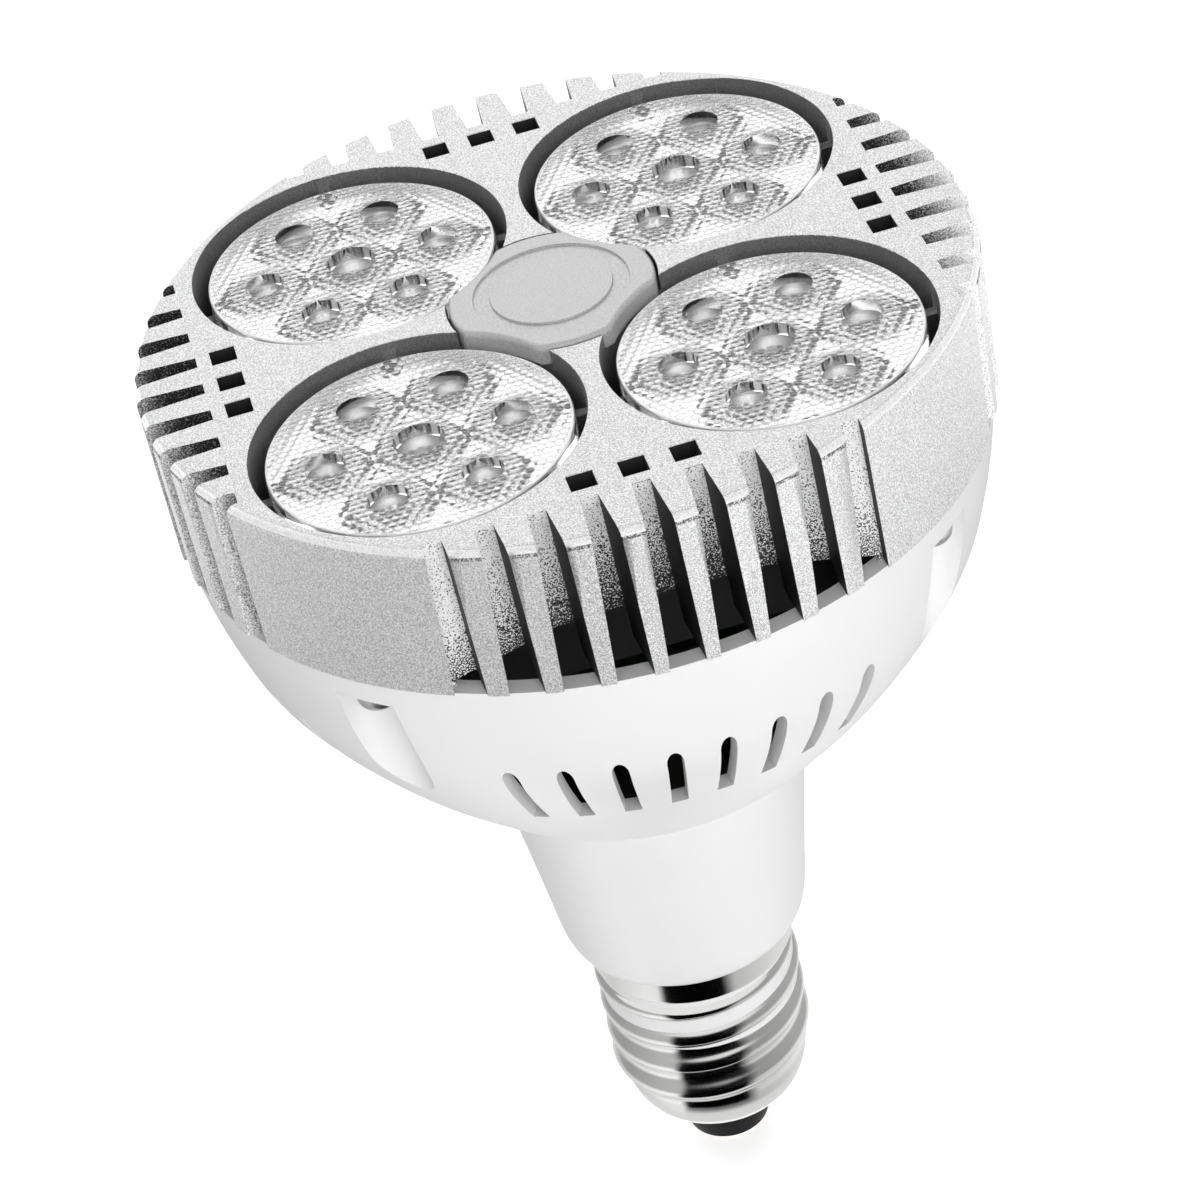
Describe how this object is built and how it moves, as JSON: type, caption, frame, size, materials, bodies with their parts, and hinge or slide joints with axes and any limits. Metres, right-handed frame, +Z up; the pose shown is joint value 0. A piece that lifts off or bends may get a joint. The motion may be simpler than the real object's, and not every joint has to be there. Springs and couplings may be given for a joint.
{
  "type": "grow light bulb",
  "caption": "Fan-cooled reflector-size grow light bulb: finned die-cast head with recessed multi-LED lenses, vented white bowl housing with driver, and a medium screw base.",
  "frame": {"origin": "Middle of the centre contact's tip, the lowest point, on the bulb's axis.", "axes": "+Z runs up the axis to the lit face; -Y is the front fin group; the lens bays lie on the diagonals between X and Y."},
  "size_m": [0.0958, 0.0958, 0.1333],
  "materials": {
    "cast_head": "sandblasted silver die casting",
    "hub_cap": "fine satin silver",
    "lens": "clear moulded optic with a micro-lens front",
    "led_board": "metal-core board, pale mask",
    "emitter": "clear domed package",
    "fan": "moulded black",
    "screw": "zinc plated",
    "housing": "satin white moulding",
    "circuit_board": "green mask",
    "capacitor_can": "sleeved can",
    "transformer": "ferrite core with taped winding",
    "film_capacitor": "epoxy box",
    "choke": "heat-shrink sleeve",
    "rectifier": "moulded package",
    "base_metal": "bright nickel plate",
    "insulator": "black moulding",
    "contact": "tinned brass"
  },
  "bodies": {
    "bulb": {"heat_sink": "cast_head", "hub_cap": "hub_cap", "lens_1": "lens", "lens_2": "lens", "lens_3": "lens", "lens_4": "lens", "led_board_1": "led_board", "led_board_2": "led_board", "led_board_3": "led_board", "led_board_4": "led_board", "led_emitters_1": "emitter", "led_emitters_2": "emitter", "led_emitters_3": "emitter", "led_emitters_4": "emitter", "fan_frame": "fan", "fan_screws": "screw", "housing": "housing", "housing_screws": "screw", "driver_board": "circuit_board", "bulk_capacitor": "capacitor_can", "transformer": "transformer", "film_capacitor": "film_capacitor", "choke": "choke", "bridge_rectifier": "rectifier", "screw_base": "base_metal", "insulator": "insulator", "contact": "contact"},
    "rotor": {"fan_rotor": "fan"}
  },
  "joints": [
    {"name": "fan_spin", "type": "hinge", "parent": "bulb", "child": "rotor", "pos_m": [0, 0, 0.1045], "axis": [0, 0, 1], "continuous": true}
  ]
}
